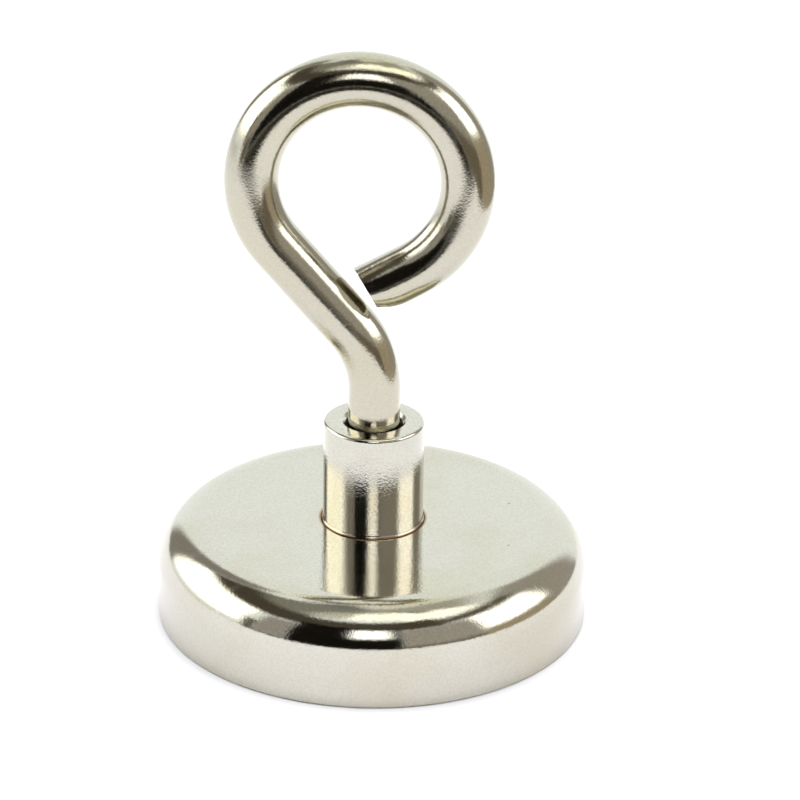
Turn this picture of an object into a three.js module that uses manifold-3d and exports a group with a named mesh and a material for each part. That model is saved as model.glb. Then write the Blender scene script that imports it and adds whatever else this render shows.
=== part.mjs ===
// Single-sided magnet fishing magnet with a screwed-in eye hook.
//
// Millimetres, +Z up. The origin is the centre of the pull face, which is the ring-shaped
// rim of the steel cup. The eye stands in the XZ plane and its closed side is towards -X.
import * as THREE from 'three';
import { mergeVertices } from 'three/addons/utils/BufferGeometryUtils.js';
import Module from 'manifold-3d';

// ---------------------------------------------------------------- driving dimensions

// Steel cup
const cupDiameter = 60;
const cupHeight = 14;
const cupWall = 4;
const cupTopThickness = 4.5;
const shoulderRadius = 6.5;
const rimOuterRadius = 0.35;
const rimInnerChamfer = 0.3;
const cavityCornerRadius = 0.6;

// Magnet and what holds it in the cup
const resinWidth = 1.5;
const resinRecess = 0.35;
const resinDepth = 6;
const bondThickness = 0.3;
const magnetRecess = 0.15;
const magnetEdgeChamfer = 0.4;
const fillClearance = 0.02;

// Threaded collar
const collarDiameter = 14;
const collarHeight = 15;
const collarEdgeRadius = 0.5;
const collarSeatDepth = 1;
const seamGap = 0.25;
const spigotWall = 1.2;
const spigotClearance = 0.08;
const swageWidth = 1.2;
const swageHeight = 1.3;
const mouthChamfer = 0.5;

// M8 coarse thread, drawn as rings with no lead
const threadDiameter = 8;
const threadPitch = 1.25;
const threadClearance = 0.12;
const threadRings = 9;
const threadTopBelowMouth = 1.6;
const threadTailLength = 0.9;

// Eye hook, one bent rod
const rodDiameter = 7.5;
const shankDiameter = 7.2;
const shankTaperLength = 1.8;
const eyeInnerDiameter = 21.7;
const eyeAboveCollar = 35.2;
const eyeOffset = -2.35;
const neckLean = 40.6;
const neckBendRadius = 14.5;
const freeEndSlope = 29.4;
const tipGap = 0.15;
const tipRollLength = 5.5;
const tipFlatShare = 0.64;

// Facets of the turned pieces and the rod, and steps along the round stretches of outlines
const cupFacets = 64;
const collarFacets = 32;
const threadFacets = 24;
const rodFacets = 20;
const rodSteps = 80;
const edgeSteps = 2;
const shoulderSteps = 9;
const rollSteps = 6;

// How far a cutter or a joined piece reaches past a face, and how near two vertices are one
const overlap = 0.05;
const weldDistance = 1e-5;

// ---------------------------------------------------------------- derived sizes

const cupRadius = cupDiameter / 2;
const cavityRadius = cupRadius - cupWall;
const cavityTop = cupHeight - cupTopThickness;
const collarRadius = collarDiameter / 2;
const collarTop = cupHeight + collarHeight;
const collarFoot = cupHeight - collarSeatDepth;
const seatRadius = collarRadius + seamGap;
const threadRadius = threadDiameter / 2;
const threadDepth = (threadPitch * 5 * Math.sqrt(3)) / 16;
const boreRadius = threadRadius - threadDepth;
const spigotRadius = threadRadius + spigotWall;
const spigotHoleRadius = spigotRadius + spigotClearance;
const mouthRadius = threadRadius + mouthChamfer;
const threadTop = collarTop - threadTopBelowMouth;
const threadTail = threadTop - threadRings * threadPitch;
const rodRadius = rodDiameter / 2;
const shankRadius = shankDiameter / 2;
const eyeRadius = eyeInnerDiameter / 2 + rodRadius;
const eyeCentreHeight = collarTop + eyeAboveCollar;
const tipFlatEdge = rodRadius * (2 * tipFlatShare - 1);

const degrees = THREE.MathUtils.degToRad;
const wasm = await Module();
wasm.setup();

// ---------------------------------------------------------------- outlines and solids

const point = (x, y) => new THREE.Vector2(x, y);

// Points along a round stretch of an outline, from one angle to another in degrees.
function arc(centreX, centreY, radius, from, to, steps) {
  const points = [];
  for (let step = 0; step <= steps; step += 1) {
    const angle = degrees(from + ((to - from) * step) / steps);
    points.push(point(centreX + radius * Math.cos(angle), centreY + radius * Math.sin(angle)));
  }
  return points;
}

// A closed outline in radius and height, turned about Z.
function turned(outline, facets) {
  const closed = [...outline, outline[0].clone()];
  return new THREE.LatheGeometry(closed, facets).rotateX(Math.PI / 2);
}

// An outline that starts and ends on the axis, turned about Z.
function turnedSolid(outline, facets) {
  return new THREE.LatheGeometry(outline, facets).rotateX(Math.PI / 2);
}

function toManifold(geometry) {
  const bare = geometry.clone().deleteAttribute('normal').deleteAttribute('uv');
  const merged = mergeVertices(bare, weldDistance);
  const vertProperties = new Float32Array(merged.attributes.position.array);
  const triVerts = new Uint32Array(merged.index.array);
  return new wasm.Manifold(new wasm.Mesh({ numProp: 3, vertProperties, triVerts }));
}

function toGeometry(solid) {
  const mesh = solid.getMesh();
  const geometry = new THREE.BufferGeometry();
  geometry.setAttribute('position', new THREE.BufferAttribute(mesh.vertProperties, mesh.numProp));
  geometry.setIndex(new THREE.BufferAttribute(mesh.triVerts, 1));
  return geometry;
}

function piece(name, geometry, color, roughness, metalness) {
  const material = new THREE.MeshStandardMaterial({ color, roughness, metalness });
  const mesh = new THREE.Mesh(geometry, material);
  mesh.name = name;
  return mesh;
}

// Thread outline from the top down: each ring is a groove at the outer radius, then a crest
// at the inner radius, with 60 degree flanks. An inset moves the whole form inwards.
function threadOutline(inset) {
  const outerRadius = threadRadius - inset;
  const innerRadius = boreRadius - inset;
  const flank = threadDepth * Math.tan(degrees(30));
  const outerFlat = threadPitch / 8;
  const innerFlat = threadPitch - outerFlat - 2 * flank;
  const points = [];
  for (let ring = 0; ring < threadRings; ring += 1) {
    const top = threadTop - ring * threadPitch;
    points.push(point(outerRadius, top));
    points.push(point(outerRadius, top - outerFlat));
    points.push(point(innerRadius, top - outerFlat - flank));
    points.push(point(innerRadius, top - outerFlat - flank - innerFlat));
  }
  return points;
}

// ---------------------------------------------------------------- steel cup

function potShell() {
  const cornerCentre = point(cavityRadius - cavityCornerRadius, cavityTop - cavityCornerRadius);
  const outline = [
    ...arc(cupRadius - rimOuterRadius, rimOuterRadius, rimOuterRadius, -90, 0, edgeSteps),
    ...arc(cupRadius - shoulderRadius, cupHeight - shoulderRadius, shoulderRadius, 0, 90, shoulderSteps),
    point(seatRadius, cupHeight),
    point(seatRadius, collarFoot),
    point(spigotHoleRadius, collarFoot),
    point(spigotHoleRadius, cavityTop + swageHeight),
    point(spigotHoleRadius + swageWidth, cavityTop),
    ...arc(cornerCentre.x, cornerCentre.y, cavityCornerRadius, 90, 0, edgeSteps),
    point(cavityRadius, rimInnerChamfer),
    point(cavityRadius + rimInnerChamfer, 0),
  ];
  return piece('pot_shell', turned(outline, cupFacets), 0xc9c5bb, 0.12, 1);
}

// ---------------------------------------------------------------- threaded collar

function threadedCollar() {
  const edgeCentre = point(collarRadius - collarEdgeRadius, collarTop - collarEdgeRadius);
  const outline = [
    point(boreRadius, cavityTop),
    point(spigotRadius + swageWidth, cavityTop),
    point(spigotRadius, cavityTop + swageHeight),
    point(spigotRadius, collarFoot),
    point(collarRadius, collarFoot),
    ...arc(edgeCentre.x, edgeCentre.y, collarEdgeRadius, 0, 90, edgeSteps),
    point(mouthRadius, collarTop),
    point(threadRadius, collarTop - mouthChamfer),
    ...threadOutline(0),
    point(boreRadius, threadTail),
  ];
  return piece('threaded_collar', turned(outline, collarFacets), 0xc4c0b6, 0.16, 1);
}

// ---------------------------------------------------------------- eye hook

// The rod's centre line in the plane of the eye, as x and z. The neck rises from the collar,
// leans over on a bend, runs straight and meets the eye's circle. The line follows the circle
// clockwise and leaves it on a straight free end that stops short of the neck.
function hookLine() {
  const lean = degrees(neckLean);
  const slope = degrees(freeEndSlope);
  const leanDirection = point(-Math.sin(lean), Math.cos(lean));
  const leanNormal = point(Math.cos(lean), Math.sin(lean));
  const endDirection = point(-Math.cos(slope), -Math.sin(slope));
  const endNormal = point(Math.sin(slope), -Math.cos(slope));
  const eyeCentre = point(eyeOffset, eyeCentreHeight);

  const eyeStart = eyeCentre.clone().addScaledVector(leanNormal, -eyeRadius);
  const bendReach = neckBendRadius * (1 - Math.cos(lean));
  const straight = (-eyeStart.x - bendReach) / Math.sin(lean);
  const bendEnd = eyeStart.clone().addScaledVector(leanDirection, -straight);
  const bendStart = bendEnd.y - neckBendRadius * Math.sin(lean);
  const eyeEnd = eyeCentre.clone().addScaledVector(endNormal, eyeRadius);

  // The free end's lower corner comes nearest to the neck. It keeps tipGap from it while it is
  // still square, and a little more once it is rolled over.
  const corner = eyeEnd.clone().addScaledVector(endNormal, rodRadius);
  const room = corner.sub(eyeStart).dot(leanNormal) - rodRadius - tipGap;
  const freeLength = room / Math.cos(lean - slope);
  const tip = eyeEnd.clone().addScaledVector(endDirection, freeLength);

  const line = new THREE.Path();
  line.moveTo(0, bendStart - overlap);
  line.lineTo(0, bendStart);
  line.absarc(-neckBendRadius, bendStart, neckBendRadius, 0, lean, false);
  line.lineTo(eyeStart.x, eyeStart.y);
  line.absarc(eyeOffset, eyeCentreHeight, eyeRadius, Math.PI + lean, slope - Math.PI / 2, true);
  line.lineTo(tip.x, tip.y);
  return { line, bendStart, tip, endDirection, endNormal };
}

class PlaneCurve extends THREE.Curve {
  constructor(path) {
    super();
    this.path = path;
  }

  getPoint(t, target = new THREE.Vector3()) {
    const flat = this.path.getPoint(t);
    return target.set(flat.x, 0, flat.y);
  }
}

function bentRod(line) {
  const section = new THREE.Shape().absarc(0, 0, rodRadius, 0, 2 * Math.PI, false);
  const extrudePath = new PlaneCurve(line);
  return new THREE.ExtrudeGeometry(section, { steps: rodSteps, curveSegments: rodFacets / 2, extrudePath });
}

// The threaded end and the shank, which tapers out to the rod's size just below the bend.
function threadedEnd(bendStart) {
  const innerRadius = boreRadius - threadClearance;
  const insideRod = rodRadius * Math.cos(Math.PI / rodFacets) - overlap;
  const outline = [
    point(0, bendStart),
    point(insideRod, bendStart),
    point(shankRadius, bendStart - shankTaperLength),
    point(shankRadius, threadTop + threadPitch / 4),
    ...threadOutline(threadClearance),
    point(innerRadius, threadTail),
    point(innerRadius - threadTailLength / 2, threadTail - threadTailLength),
    point(0, threadTail - threadTailLength),
  ];
  return turnedSolid(outline.reverse(), threadFacets);
}

// The sheared tip is rolled over on its lower side. The cutter takes off what lies outside
// an arc that leaves the rod's lower side and meets the cut face.
function tipCutter({ tip, endDirection, endNormal }) {
  const drop = rodRadius - tipFlatEdge;
  const rollRadius = (tipRollLength ** 2 + drop ** 2) / (2 * drop);
  const sweep = THREE.MathUtils.radToDeg(Math.asin(tipRollLength / rollRadius));
  const rolled = arc(-tipRollLength, rodRadius - rollRadius, rollRadius, 90, 90 - sweep, rollSteps);
  const outside = [
    point(overlap, tipFlatEdge - overlap),
    point(overlap, rodRadius + overlap),
    point(-tipRollLength, rodRadius + overlap),
  ];
  const place = ({ x, y }) => tip.clone().addScaledVector(endDirection, x).addScaledVector(endNormal, y);
  const shape = new THREE.Shape([...rolled, ...outside].map(place));
  const depth = 2 * rodDiameter;
  return new THREE.ExtrudeGeometry(shape, { depth, bevelEnabled: false })
    .translate(0, 0, -depth / 2)
    .rotateX(Math.PI / 2);
}

function eyeHook() {
  const hook = hookLine();
  const rod = toManifold(bentRod(hook.line)).subtract(toManifold(tipCutter(hook)));
  const solid = rod.add(toManifold(threadedEnd(hook.bendStart)));
  return piece('eye_hook', toGeometry(solid), 0xc6c1b4, 0.14, 1);
}

// ---------------------------------------------------------------- magnet, resin and adhesive

function magnetDisc() {
  const radius = cavityRadius - resinWidth;
  const top = cavityTop - bondThickness;
  const outline = [
    point(0, magnetRecess),
    point(radius - magnetEdgeChamfer, magnetRecess),
    point(radius, magnetRecess + magnetEdgeChamfer),
    point(radius, top - magnetEdgeChamfer),
    point(radius - magnetEdgeChamfer, top),
    point(0, top),
  ];
  return piece('magnet_disc', turnedSolid(outline, cupFacets), 0xb9b8b4, 0.22, 1);
}

function resinRing() {
  const inner = cavityRadius - resinWidth + fillClearance;
  const outer = cavityRadius - fillClearance;
  const outline = [
    point(inner, resinRecess + magnetEdgeChamfer),
    point(outer, resinRecess),
    point(outer, resinRecess + resinDepth),
    point(inner, resinRecess + resinDepth),
  ];
  return piece('resin_ring', turned(outline, cupFacets), 0x2b2a28, 0.35, 0);
}

function bondFilm() {
  const outer = cavityRadius - resinWidth - magnetEdgeChamfer;
  const outline = [
    point(0, cavityTop - bondThickness),
    point(outer, cavityTop - bondThickness),
    point(outer, cavityTop),
    point(0, cavityTop),
  ];
  return piece('bond_film', turnedSolid(outline, cupFacets), 0xd9d3b0, 0.5, 0);
}

// ---------------------------------------------------------------- assembly

const magnet = new THREE.Group();
magnet.add(potShell(), threadedCollar(), eyeHook(), magnetDisc(), resinRing(), bondFilm());

export default magnet;
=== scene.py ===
"""Magnet fishing magnet: a nickel plated steel cup with a screwed-in eye hook.

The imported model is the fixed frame. Each operator below makes one piece of the magnet, or a
group of like pieces, around it, and the last one makes the studio. Lengths are in metres.
"""

import math

import bmesh
import bpy
from mathutils import Matrix, Vector


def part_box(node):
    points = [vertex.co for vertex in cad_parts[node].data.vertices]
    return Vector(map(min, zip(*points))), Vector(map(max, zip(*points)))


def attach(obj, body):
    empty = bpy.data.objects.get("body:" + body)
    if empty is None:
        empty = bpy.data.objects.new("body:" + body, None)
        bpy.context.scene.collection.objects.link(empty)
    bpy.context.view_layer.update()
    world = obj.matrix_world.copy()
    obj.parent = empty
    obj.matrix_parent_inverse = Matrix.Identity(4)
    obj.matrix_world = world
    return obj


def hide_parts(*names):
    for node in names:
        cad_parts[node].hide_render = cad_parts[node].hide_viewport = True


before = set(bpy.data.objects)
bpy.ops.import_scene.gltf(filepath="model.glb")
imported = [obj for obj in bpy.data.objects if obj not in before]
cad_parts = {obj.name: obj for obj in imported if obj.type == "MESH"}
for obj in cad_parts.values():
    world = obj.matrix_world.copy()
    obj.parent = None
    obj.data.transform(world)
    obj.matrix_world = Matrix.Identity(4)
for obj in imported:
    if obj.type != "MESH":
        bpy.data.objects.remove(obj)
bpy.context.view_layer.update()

bl_info = {
    "name": "Fishing Magnet",
    "version": (1, 0, 0),
    "blender": (4, 5, 0),
    "location": "3D View > Sidebar > Magnet",
    "description": "Makes a plated cup magnet with an eye hook, piece by piece",
    "category": "Object",
}

CUP_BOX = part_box("pot_shell")
COLLAR_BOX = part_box("threaded_collar")
MAGNET_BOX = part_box("magnet_disc")
RESIN_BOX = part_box("resin_ring")
MM = 0.001
WELD = 0.0005 * MM         # vertices closer than this are one
HOLD = 0.08 * MM           # how close to a corner a wide flat is split
LONG_SIDE = 2 * MM         # sides of an outline longer than this are split
SHARP = math.radians(35)   # edges sharper than this show as edges

X_AXIS = Vector((1, 0, 0))
Y_AXIS = Vector((0, 1, 0))
Z_AXIS = Vector((0, 0, 1))


# ---------------------------------------------------------------- settings


def length(name, description, default):
    return bpy.props.FloatProperty(
        name=name, description=description, default=default, min=0, precision=5,
        unit="LENGTH", subtype="DISTANCE",
    )


def turn(name, description, degrees):
    return bpy.props.FloatProperty(
        name=name, description=description, default=math.radians(degrees), subtype="ANGLE"
    )


def colour(name, description, default):
    return bpy.props.FloatVectorProperty(
        name=name, description=description, default=default, size=3, min=0, max=1,
        subtype="COLOR",
    )


def share(name, description, default):
    return bpy.props.FloatProperty(
        name=name, description=description, default=default, min=0, max=1, subtype="FACTOR"
    )


def number(name, description, default, least=0.0):
    return bpy.props.FloatProperty(name=name, description=description, default=default, min=least)


def count(name, description, default):
    return bpy.props.IntProperty(name=name, description=description, default=default, min=1)


class CupSizes(bpy.types.PropertyGroup):
    """The turned steel cup."""

    diameter: length("Diameter", "Outside diameter of the cup", 2 * CUP_BOX[1].x)
    height: length("Height", "Height of the cup's flat top", CUP_BOX[1].z)
    wall: length("Wall", "Thickness of the side wall", 4 * MM)
    shoulder: length("Shoulder", "Radius of the rounded shoulder", 6.5 * MM)
    rim_round: length("Rim round", "Radius of the rim's outer edge", 0.35 * MM)
    rim_chamfer: length("Rim chamfer", "Chamfer on the rim's inner edge", 0.3 * MM)
    cavity_round: length("Cavity round", "Radius in the cavity's corner", 0.6 * MM)
    seam_gap: length("Seam gap", "Width of the seam around the collar's foot", 0.25 * MM)
    seam_round: length("Seam round", "Softened edge of the seat", 0.08 * MM)
    seat_depth: length("Seat depth", "How deep the collar is seated in the top", 1 * MM)
    facets: count("Steps round", "Steps of the turned surface", 384)


class CollarSizes(bpy.types.PropertyGroup):
    """The turned and tapped collar that is swaged into the cup's top."""

    diameter: length("Diameter", "Outside diameter of the collar", 2 * COLLAR_BOX[1].x)
    top: length("Top", "Height of the collar's top face", COLLAR_BOX[1].z)
    edge_round: length("Edge round", "Radius of the top outer edge", 0.5 * MM)
    flare: length("Flare", "How far the foot is spread where it meets the cup", 0.19 * MM)
    flare_height: length("Flare height", "Height of the spread foot above the cup", 0.3 * MM)
    mouth_chamfer: length("Mouth chamfer", "Countersink at the mouth of the thread", 0.5 * MM)
    thread_diameter: length("Thread", "Nominal diameter of the thread", 8 * MM)
    thread_pitch: length("Pitch", "Pitch of the thread", 1.25 * MM)
    thread_rings: count("Thread rings", "Number of thread grooves", 9)
    thread_start: length("Thread start", "First groove's depth below the top face", 1.6 * MM)
    spigot_wall: length("Spigot wall", "Wall of the spigot that passes the top", 1.2 * MM)
    spigot_gap: length("Spigot gap", "Clearance round the spigot", 0.08 * MM)
    swage_width: length("Swage width", "How far the spigot is spread under the top", 1.2 * MM)
    swage_height: length("Swage height", "Height of the spread end", 1.3 * MM)
    facets: count("Steps round", "Steps of the turned surface", 192)


class HookSizes(bpy.types.PropertyGroup):
    """The eye hook, bent from one rod."""

    rod: length("Rod", "Diameter of the rod round the eye", 7.5 * MM)
    shank: length("Shank", "Diameter of the straight shank", 7.2 * MM)
    eye: length("Eye", "Inside diameter of the eye", 21.7 * MM)
    eye_rise: length("Eye rise", "Height of the eye's centre above the collar", 35.2 * MM)
    eye_shift: length("Eye shift", "How far the eye's centre is off the axis, towards -X", 2.35 * MM)
    lean: turn("Lean", "How far the neck leans over", 40.6)
    neck_bend: length("Neck bend", "Radius of the bend in the neck", 14.5 * MM)
    end_slope: turn("End slope", "Slope of the straight free end", 29.4)
    tip_gap: length("Tip gap", "Gap between the tip and the neck", 0.15 * MM)
    roll: length("Tip roll", "Length of the tip that the shear has rolled over", 5.5 * MM)
    roll_drop: length("Roll drop", "How far the tip's lower side is rolled in", 2.7 * MM)
    shear: turn("Shear angle", "How far the cut face is turned towards -Y", 13.5)
    tip_reach: length("Tip reach", "How far the sheared tip passes the square end", 0.45 * MM)
    tip_round: length("Tip round", "Softened edge of the cut face", 0.3 * MM)
    thread_gap: length("Thread gap", "Clearance in the thread", 0.12 * MM)
    tail: length("Tail", "Length of the pointed end below the thread", 0.9 * MM)
    facets: count("Steps round", "Steps round the rod", 96)
    neck_steps: count("Neck steps", "Steps along the bend in the neck", 24)
    lean_steps: count("Lean steps", "Steps along the straight part of the neck", 8)
    eye_steps: count("Eye steps", "Steps along the eye", 150)
    end_steps: count("End steps", "Steps along the plain part of the free end", 4)
    tip_steps: count("Tip steps", "Steps along the rolled part of the tip", 20)
    tip_spare: length("Tip spare", "Length drawn past the tip, for the cut to take off", 1.5 * MM)


class FillSizes(bpy.types.PropertyGroup):
    """The magnet, and the resin that seals it in the cup."""

    radius: length("Magnet radius", "Radius of the magnet disc", MAGNET_BOX[1].x)
    face: length("Magnet face", "Height of the magnet's face above the rim", MAGNET_BOX[0].z)
    back: length("Magnet back", "Height of the magnet's back", MAGNET_BOX[1].z)
    edge: length("Magnet edge", "Rounded edge of the magnet", 0.4 * MM)
    resin_outer: length("Resin radius", "Outer radius of the resin", RESIN_BOX[1].x)
    resin_face: length("Resin face", "Height of the resin's outer edge", RESIN_BOX[0].z)
    resin_back: length("Resin back", "Height of the resin's hidden side", RESIN_BOX[1].z)
    resin_gap: length("Resin gap", "Clearance between the magnet and the resin", 0.02 * MM)
    resin_dip: length("Resin dip", "How far the resin has sunk between its edges", 0.3 * MM)


class Finishes(bpy.types.PropertyGroup):
    """Colours and gloss of the surfaces."""

    nickel: colour("Nickel", "Colour of the nickel plate", (0.57, 0.548, 0.478))
    rod_nickel: colour("Rod nickel", "Colour of the rod's nickel plate", (0.51, 0.482, 0.395))
    speck: colour("Speck", "Colour of the plate's darker specks", (0.25, 0.22, 0.16))
    tarnish: colour("Tarnish", "Colour where the plate has dulled", (0.5, 0.46, 0.33))
    stain: colour("Stain", "Colour of the stain in the seam", (0.3, 0.18, 0.08))
    # Colour of the dirt in the pits, and also of the painted shade in the collar's thread and on the
    # rod down in the collar.
    grime_and_shade: colour("Grime", "Colour of the dirt in the thread and the pits", (0.05, 0.04, 0.03))
    ground_nickel: colour("Magnet plate", "Colour of the magnet's own plate", (0.6, 0.59, 0.55))
    resin: colour("Resin", "Colour of the sealing resin", (0.012, 0.012, 0.013))
    adhesive: colour("Adhesive", "Colour of the bonding adhesive", (0.62, 0.56, 0.36))
    dulling: share("Dulling", "How strongly the dull patches show", 0.42)
    speckle: share("Speckle", "How strongly the darker specks show", 0.16)
    pit_dirt: share("Pit dirt", "How dark the pits are", 0.75)
    seam_stain: share("Seam stain", "How strongly the cup is stained at the seam", 0.9)
    foot_stain: share("Foot stain", "How strongly the collar's foot is stained", 0.85)
    # Painted shade: how dark the bore of the collar's thread is painted.
    thread_shade: share("Thread dirt", "How strongly the dirt in the collar's thread shows", 0.7)
    # Painted shade: how dark the rod is painted where it goes down into the collar.
    rod_shade: share("Rod dirt", "How strongly the dirt shows on the rod in the collar", 0.6)
    streak_haze: share("Streak haze", "Roughness that wiped streaks add", 0.07)
    scratch_haze: share("Scratch haze", "Roughness that scratches add", 0.1)
    speck_haze: share("Speck haze", "Roughness that the darker specks add", 0.03)
    mark_depth: length("Mark depth", "Depth of the scratches and pits", 0.004 * MM)
    cup_gloss: share("Cup roughness", "Roughness of the cup's plate", 0.055)
    collar_gloss: share("Collar roughness", "Roughness of the collar's plate", 0.09)
    rod_gloss: share("Rod roughness", "Roughness of the rod's plate", 0.1)


class StageSettings(bpy.types.PropertyGroup):
    """The pale floor, the studio's light and the camera."""

    floor: colour("Floor", "Colour of the floor", (0.88, 0.885, 0.96))
    floor_size: length("Floor size", "Width of the floor", 6.0)
    sheet_front: length("Sheet front", "How far the sheet reaches in front of the magnet", 0.165)
    sheet_side: length("Sheet side", "How far the sheet reaches to the right of the magnet", 0.12)
    sheet_edge: length("Sheet edge", "How soft the edge of the sheet is", 5 * MM)
    foot_inset: length("Foot inset", "How far the floor reaches in under the cup", 0.3 * MM)
    lamp_size: length("Lamp size", "Width of the overhead lamp", 0.5)
    lamp_height: length("Lamp height", "Height of the overhead lamp", 0.7)
    lamp_back: length("Lamp setback", "How far the lamp stands behind the magnet", 0.05)
    lamp_power: number("Lamp power", "Power of the overhead lamp in watts", 3.6)
    distance: length("Distance", "From the origin to the camera", 0.56411)
    height_angle: turn("Height angle", "The camera's height over the floor, as an angle", 27.549)
    heading: turn("Heading", "How far the camera stands round from -Y", 1.404)
    pitch: turn("Pitch", "How far the camera looks down", 24.593)
    yaw: turn("Yaw", "How far the camera looks aside", 0.406)
    roll: turn("Roll", "How far the camera is tilted", 0.922)
    lens: number("Lens", "Focal length in millimetres", 179.49, 1)


class FishingMagnet(bpy.types.PropertyGroup):
    """All settings of the magnet."""

    cup: bpy.props.PointerProperty(type=CupSizes)
    collar: bpy.props.PointerProperty(type=CollarSizes)
    hook: bpy.props.PointerProperty(type=HookSizes)
    fill: bpy.props.PointerProperty(type=FillSizes)
    finish: bpy.props.PointerProperty(type=Finishes)
    stage: bpy.props.PointerProperty(type=StageSettings)


# ---------------------------------------------------------------- mesh work


def outline(bm, corners, closed=True):
    """Joins (radius, height) corners into one line in the XZ half plane."""
    verts = [bm.verts.new((radius, 0, height)) for radius, height in corners]
    ends = verts[1:] + verts[:1] if closed else verts[1:]
    for start, end in zip(verts, ends):
        bm.edges.new((start, end))
    return verts


def round_corner(bm, vert, size, segments):
    """Rounds one corner of an outline."""
    bmesh.ops.bevel(
        bm, geom=[vert], offset=size, segments=segments, profile=0.5,
        affect="VERTICES", material=-1,
    )


def hold_flats(bm):
    """Splits each long side of an outline close to its ends, so that wide flats shade as flat."""
    for side in [edge for edge in bm.edges if edge.calc_length() > LONG_SIDE]:
        first, last = side.verts
        added = bmesh.utils.edge_split(side, first, HOLD / side.calc_length())[1]
        rest = max(added.link_edges, key=lambda edge: edge.calc_length())
        bmesh.utils.edge_split(rest, last, HOLD / rest.calc_length())


def spin_full(bm, steps):
    """Turns the outline once round Z and closes it."""
    hold_flats(bm)
    bmesh.ops.spin(
        bm, geom=bm.verts[:] + bm.edges[:], cent=(0, 0, 0), axis=Z_AXIS,
        angle=2 * math.pi, steps=steps, use_merge=True,
    )
    close_mesh(bm)


def close_mesh(bm):
    """Joins the vertices that lie together and turns every face outwards."""
    bmesh.ops.remove_doubles(bm, verts=bm.verts[:], dist=WELD)
    bmesh.ops.recalc_face_normals(bm, faces=bm.faces[:])


def finish_piece(bm, name, material, body, node):
    """Makes the object, shades it smooth up to its sharp edges, and sets it in the frame."""
    for face in bm.faces:
        face.smooth = True
    for edge in bm.edges:
        edge.smooth = edge.calc_face_angle(0) < SHARP
    loose = [edge for edge in bm.edges if not edge.is_manifold]
    if loose:
        raise RuntimeError(f"{name} has {len(loose)} open or doubled edges")
    mesh = bpy.data.meshes.new(name)
    bm.to_mesh(mesh)
    bm.free()
    piece = bpy.data.objects.new(name, mesh)
    bpy.context.scene.collection.objects.link(piece)
    piece.data.materials.append(material)
    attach(piece, body)
    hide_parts(node)


# ---------------------------------------------------------------- shader work


def feed(tree, socket, value):
    """Sets an input to a value, or links it to the socket that feeds it."""
    if isinstance(value, bpy.types.NodeSocket):
        tree.links.new(value, socket)
    else:
        socket.default_value = value


def add(tree, kind, inputs=None, **settings):
    """A new node, with its inputs fed."""
    node = tree.nodes.new(kind)
    for key, value in settings.items():
        setattr(node, key, value)
    for key, value in (inputs or {}).items():
        feed(tree, node.inputs[key], value)
    return node


def maths(tree, operation, first, second=0.0):
    return add(tree, "ShaderNodeMath", {0: first, 1: second}, operation=operation).outputs[0]


def remap(tree, value, low, high, out_low=0.0, out_high=1.0):
    """Takes the range from low to high smoothly to another range, and no further."""
    inputs = {"Value": value, "From Min": low, "From Max": high}
    inputs.update({"To Min": out_low, "To Max": out_high})
    node = add(tree, "ShaderNodeMapRange", inputs, interpolation_type="SMOOTHSTEP")
    return node.outputs["Result"]


def blend(tree, factor, first, second):
    """Mixes two colours."""
    node = add(tree, "ShaderNodeMix", data_type="RGBA")
    share_socket = next(socket for socket in node.inputs if socket.type == "VALUE")
    colours = [socket for socket in node.inputs if socket.type == "RGBA"]
    for socket, value in zip([share_socket, *colours], [factor, first, second]):
        feed(tree, socket, value)
    return next(socket for socket in node.outputs if socket.type == "RGBA")


def noise(tree, coordinates, scale, detail=2.0, roughness=0.5):
    inputs = {"Vector": coordinates, "Scale": scale, "Detail": detail, "Roughness": roughness}
    return add(tree, "ShaderNodeTexNoise", inputs).outputs["Fac"]


def stretched(tree, coordinates, scale):
    """Coordinates scaled along each axis."""
    inputs = {"Vector": coordinates, "Scale": scale}
    return add(tree, "ShaderNodeMapping", inputs).outputs["Vector"]


def new_group(name, inputs, outputs):
    """An empty shader node group: its tree, its inputs by name, and its output node."""
    tree = bpy.data.node_groups.new(name, "ShaderNodeTree")
    for label, kind, default in inputs:
        socket = tree.interface.new_socket(label, in_out="INPUT", socket_type=kind)
        if default is not None:
            socket.default_value = default
    for label in outputs:
        tree.interface.new_socket(label, in_out="OUTPUT", socket_type="NodeSocketFloat")
    entry = tree.nodes.new("NodeGroupInput")
    leave = tree.nodes.new("NodeGroupOutput")
    return tree, entry.outputs, leave


def use_group(tree, group, inputs):
    return add(tree, "ShaderNodeGroup", inputs, node_tree=group).outputs


FLOAT = "NodeSocketFloat"
VECTOR = "NodeSocketVector"


def grain_group():
    """Fine grain of the plate, and the slow ripple of the metal under it."""
    name = "plate_grain"
    if name in bpy.data.node_groups:
        return bpy.data.node_groups[name]
    sockets = [
        ("Coordinates", VECTOR, None),
        ("Grain Scale", FLOAT, 3400.0),
        ("Ripple Scale", FLOAT, 75.0),
    ]
    tree, given, leave = new_group(name, sockets, ["Height", "Ripple", "Mottle"])
    grain = noise(tree, given["Coordinates"], given["Grain Scale"], 2.0, 0.6)
    ripple = noise(tree, given["Coordinates"], given["Ripple Scale"], 1.0, 0.4)
    tree.links.new(grain, leave.inputs["Height"])
    tree.links.new(ripple, leave.inputs["Ripple"])
    tree.links.new(remap(tree, grain, 0.35, 0.65), leave.inputs["Mottle"])
    return tree


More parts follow.
